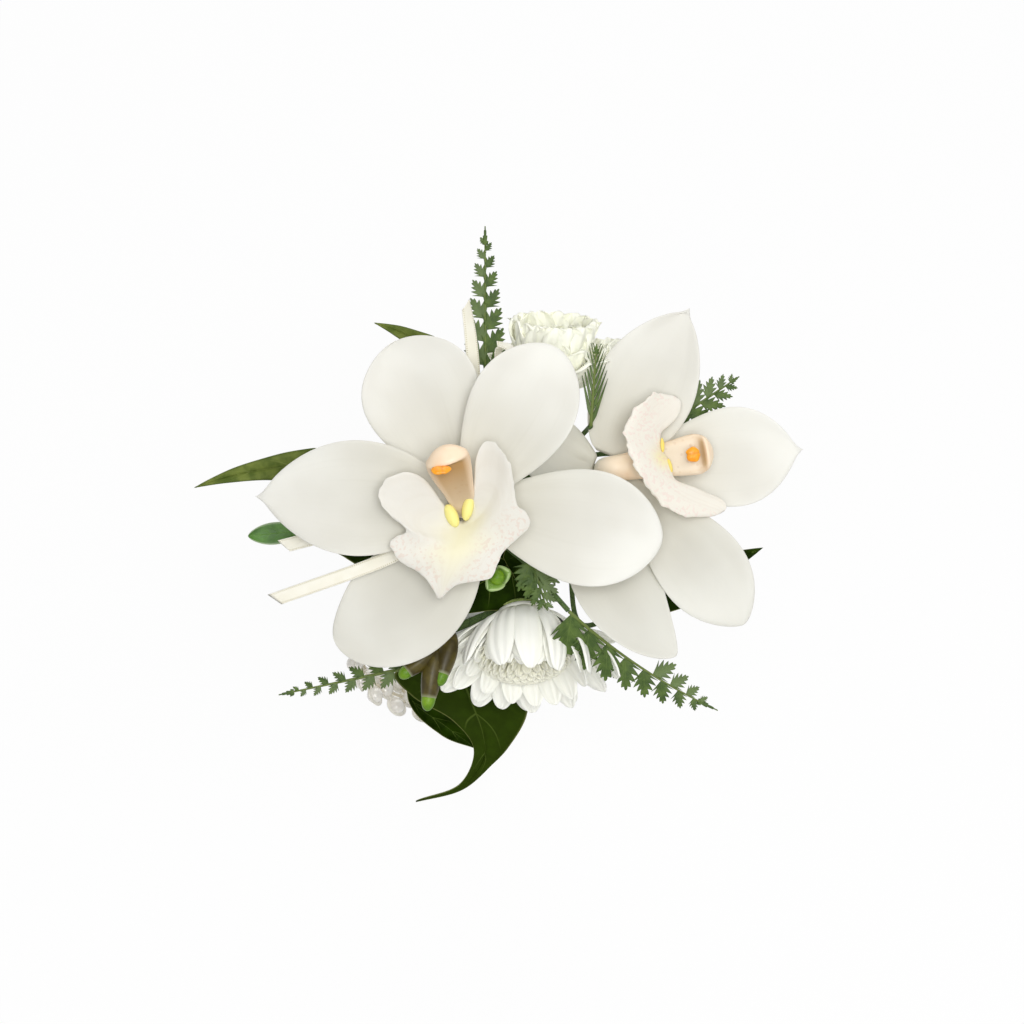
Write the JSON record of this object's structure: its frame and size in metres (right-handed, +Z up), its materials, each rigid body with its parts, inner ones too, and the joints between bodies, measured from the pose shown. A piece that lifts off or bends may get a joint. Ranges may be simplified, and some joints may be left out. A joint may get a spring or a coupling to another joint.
{
  "type": "wrist corsage",
  "caption": "White orchids and mums with fern, ivy, buds and narrow ribbon, wired to a clip on an elastic pearl bracelet that stretches over the hand and is worn on the wrist.",
  "frame": {"origin": "middle of the clip's flat underside, which rests on the back of the wrist", "axes": "+Z up from the wrist through the clip; the wrist runs along Y; the flowers face -Y and up; +X to the viewer's right"},
  "size_m": [0.185, 0.1189, 0.1485],
  "materials": {
    "pearl": "polished",
    "elastic": "matte",
    "clip": "satin",
    "stem_tape": "matte",
    "petal": "satin",
    "lip": "satin",
    "column": "satin",
    "anther": "satin",
    "mum_heart": "matte",
    "mum_white": "matte",
    "mum_green_white": "matte",
    "fern": "matte",
    "ivy": "satin",
    "bud": "satin",
    "ribbon": "satin"
  },
  "bodies": {
    "spray_on_clip": {"orchid_1_dorsal_sepal": "petal", "orchid_1_right_petal": "petal", "orchid_1_left_petal": "petal", "orchid_1_left_sepal": "petal", "orchid_1_right_sepal": "petal", "orchid_1_lip": "lip", "orchid_1_column": "column", "orchid_1_anther_cap": "anther", "orchid_2_dorsal_sepal": "petal", "orchid_2_upper_petal": "petal", "orchid_2_lower_petal": "petal", "orchid_2_right_sepal": "petal", "orchid_2_left_sepal": "petal", "orchid_2_lip": "lip", "orchid_2_column": "column", "orchid_2_anther_cap": "anther", "front_mum_heart": "mum_heart", "front_mum_outer_rays": "mum_white", "front_mum_inner_rays": "mum_white", "back_mum_heart": "mum_heart", "back_mum_outer_rays": "mum_green_white", "back_mum_inner_rays": "mum_green_white", "fern_top": "fern", "fern_right_upper": "fern", "fern_lower_left": "fern", "fern_lower_right": "fern", "fern_centre": "fern", "fern_between": "fern", "ivy_bottom": "ivy", "ivy_left": "ivy", "ivy_top_left": "ivy", "ivy_behind_left": "ivy", "ivy_centre": "ivy", "ivy_lower_right": "ivy", "sprig_lower": "bud", "sprig_left": "bud", "sprig_centre": "bud", "ribbon_long_tail": "ribbon", "ribbon_short_tail": "ribbon", "ribbon_top_tail": "ribbon", "ribbon_top_loop": "ribbon", "stem_bundle": "stem_tape", "elastic_band": "elastic", "clip_plate": "clip"},
    "link_01": {"pearl_link_01": "pearl"},
    "link_02": {"pearl_link_02": "pearl"},
    "link_03": {"pearl_link_03": "pearl"},
    "link_04": {"pearl_link_04": "pearl"},
    "link_05": {"pearl_link_05": "pearl"},
    "link_06": {"pearl_link_06": "pearl"},
    "link_07": {"pearl_link_07": "pearl"},
    "link_08": {"pearl_link_08": "pearl"},
    "link_09": {"pearl_link_09": "pearl"},
    "link_10": {"pearl_link_10": "pearl"},
    "link_11": {"pearl_link_11": "pearl"},
    "link_12": {"pearl_link_12": "pearl"},
    "link_13": {"pearl_link_13": "pearl"},
    "link_14": {"pearl_link_14": "pearl"},
    "link_15": {"pearl_link_15": "pearl"}
  },
  "joints": [
    {"name": "bracelet_stretch", "type": "slide", "parent": "spray_on_clip", "child": "link_01", "axis": [-0.9985, 0, -0.0547], "range_m": [0, 0.00722], "stiffness_N_per_m": 60, "springref_m": -0.01, "deforming": ["elastic_band"]},
    {"name": "link_02_spread", "type": "slide", "parent": "link_01", "child": "link_02", "axis": [-0.5469, 0, -0.8372], "range_m": [0, 0.00323]},
    {"name": "link_03_spread", "type": "slide", "parent": "link_02", "child": "link_03", "axis": [-0.2455, 0, -0.9694], "range_m": [0, 0.00323]},
    {"name": "link_04_spread", "type": "slide", "parent": "link_03", "child": "link_04", "axis": [0.0826, 0, -0.9966], "range_m": [0, 0.00323]},
    {"name": "link_05_spread", "type": "slide", "parent": "link_04", "child": "link_05", "axis": [0.4017, 0, -0.9158], "range_m": [0, 0.00323]},
    {"name": "link_06_spread", "type": "slide", "parent": "link_05", "child": "link_06", "axis": [0.6773, 0, -0.7357], "range_m": [0, 0.00323]},
    {"name": "link_07_spread", "type": "slide", "parent": "link_06", "child": "link_07", "axis": [0.8795, 0, -0.4759], "range_m": [0, 0.00323]},
    {"name": "link_08_spread", "type": "slide", "parent": "link_07", "child": "link_08", "axis": [0.9864, 0, -0.1646], "range_m": [0, 0.00323]},
    {"name": "link_15_spread", "type": "slide", "parent": "spray_on_clip", "child": "link_15", "axis": [0.9985, 0, -0.0547], "range_m": [0, 0.00723]},
    {"name": "link_14_spread", "type": "slide", "parent": "link_15", "child": "link_14", "axis": [0.5469, 0, -0.8372], "range_m": [0, 0.00323]},
    {"name": "link_13_spread", "type": "slide", "parent": "link_14", "child": "link_13", "axis": [0.2455, 0, -0.9694], "range_m": [0, 0.00323]},
    {"name": "link_12_spread", "type": "slide", "parent": "link_13", "child": "link_12", "axis": [-0.0826, 0, -0.9966], "range_m": [0, 0.00323]},
    {"name": "link_11_spread", "type": "slide", "parent": "link_12", "child": "link_11", "axis": [-0.4017, 0, -0.9158], "range_m": [0, 0.00323]},
    {"name": "link_10_spread", "type": "slide", "parent": "link_11", "child": "link_10", "axis": [-0.6773, 0, -0.7357], "range_m": [0, 0.00323]},
    {"name": "link_09_spread", "type": "slide", "parent": "link_10", "child": "link_09", "axis": [-0.8795, 0, -0.4759], "range_m": [0, 0.00323]}
  ],
  "couplings": [
    {"joint": "link_02_spread", "follows": "bracelet_stretch", "ratio": 0.44677},
    {"joint": "link_03_spread", "follows": "bracelet_stretch", "ratio": 0.44677},
    {"joint": "link_04_spread", "follows": "bracelet_stretch", "ratio": 0.44677},
    {"joint": "link_05_spread", "follows": "bracelet_stretch", "ratio": 0.44677},
    {"joint": "link_06_spread", "follows": "bracelet_stretch", "ratio": 0.44677},
    {"joint": "link_07_spread", "follows": "bracelet_stretch", "ratio": 0.44677},
    {"joint": "link_08_spread", "follows": "bracelet_stretch", "ratio": 0.44677},
    {"joint": "link_15_spread", "follows": "bracelet_stretch", "ratio": 1},
    {"joint": "link_14_spread", "follows": "bracelet_stretch", "ratio": 0.44677},
    {"joint": "link_13_spread", "follows": "bracelet_stretch", "ratio": 0.44677},
    {"joint": "link_12_spread", "follows": "bracelet_stretch", "ratio": 0.44677},
    {"joint": "link_11_spread", "follows": "bracelet_stretch", "ratio": 0.44677},
    {"joint": "link_10_spread", "follows": "bracelet_stretch", "ratio": 0.44677},
    {"joint": "link_09_spread", "follows": "bracelet_stretch", "ratio": 0.44677}
  ]
}
